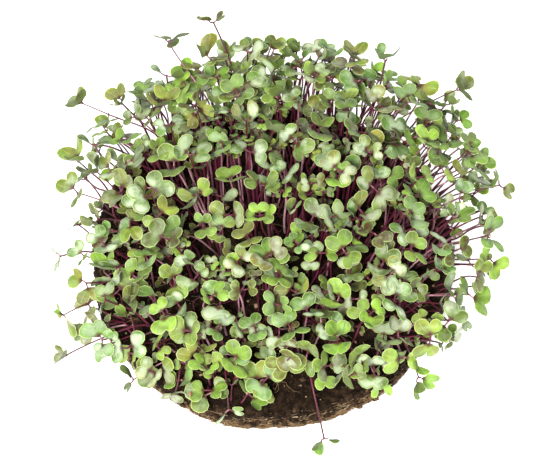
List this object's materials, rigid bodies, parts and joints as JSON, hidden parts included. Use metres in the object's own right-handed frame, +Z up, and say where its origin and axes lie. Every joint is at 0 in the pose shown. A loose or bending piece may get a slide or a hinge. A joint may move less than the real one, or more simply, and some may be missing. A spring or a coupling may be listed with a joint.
{
  "type": "microgreens on a round soil block",
  "caption": "Round soil block with a root-bound underside, turned out of its tray, carrying a dense crop of red-stemmed seedlings with two-lobed leaf pairs.",
  "frame": {"origin": "middle of the soil block's flat underside", "axes": "+Z up, +Y to the back of the clump, away from the bare patch of soil at its front edge, +X to its right seen from the front"},
  "size_m": [0.2565, 0.2421, 0.0869],
  "materials": {
    "root_mat": "matted pale brown roots and fibres",
    "soil": "moist crumbly dark soil",
    "leaf": "matt green seed leaves with a bluish bloom",
    "stem": "satin purple-red stems"
  },
  "bodies": {
    "root": {"root_mat": "root_mat", "soil": "soil", "tuft_01": "leaf", "tuft_02": "leaf", "tuft_03": "leaf", "tuft_04": "leaf", "tuft_05": "leaf", "tuft_06": "leaf", "tuft_07": "leaf", "tuft_08": "leaf", "tuft_09": "leaf", "tuft_10": "leaf", "tuft_11": "leaf", "tuft_12": "leaf", "tuft_13": "leaf", "tuft_14": "leaf", "tuft_15": "leaf", "tuft_16": "leaf", "tuft_17": "leaf", "tuft_18": "leaf", "tuft_19": "leaf", "tuft_20": "leaf", "tuft_21": "leaf", "tuft_22": "leaf", "tuft_23": "leaf", "tuft_24": "leaf", "tuft_25": "leaf", "tuft_26": "leaf", "tuft_27": "leaf", "tuft_28": "leaf", "tuft_29": "leaf", "tuft_30": "leaf", "tuft_31": "leaf", "tuft_32": "leaf", "tuft_33": "leaf", "tuft_34": "leaf", "tuft_35": "leaf", "tuft_36": "leaf", "tuft_37": "leaf", "tuft_38": "leaf", "tuft_39": "leaf", "tuft_40": "leaf", "tuft_41": "leaf", "tuft_42": "leaf"}
  },
  "joints": []
}
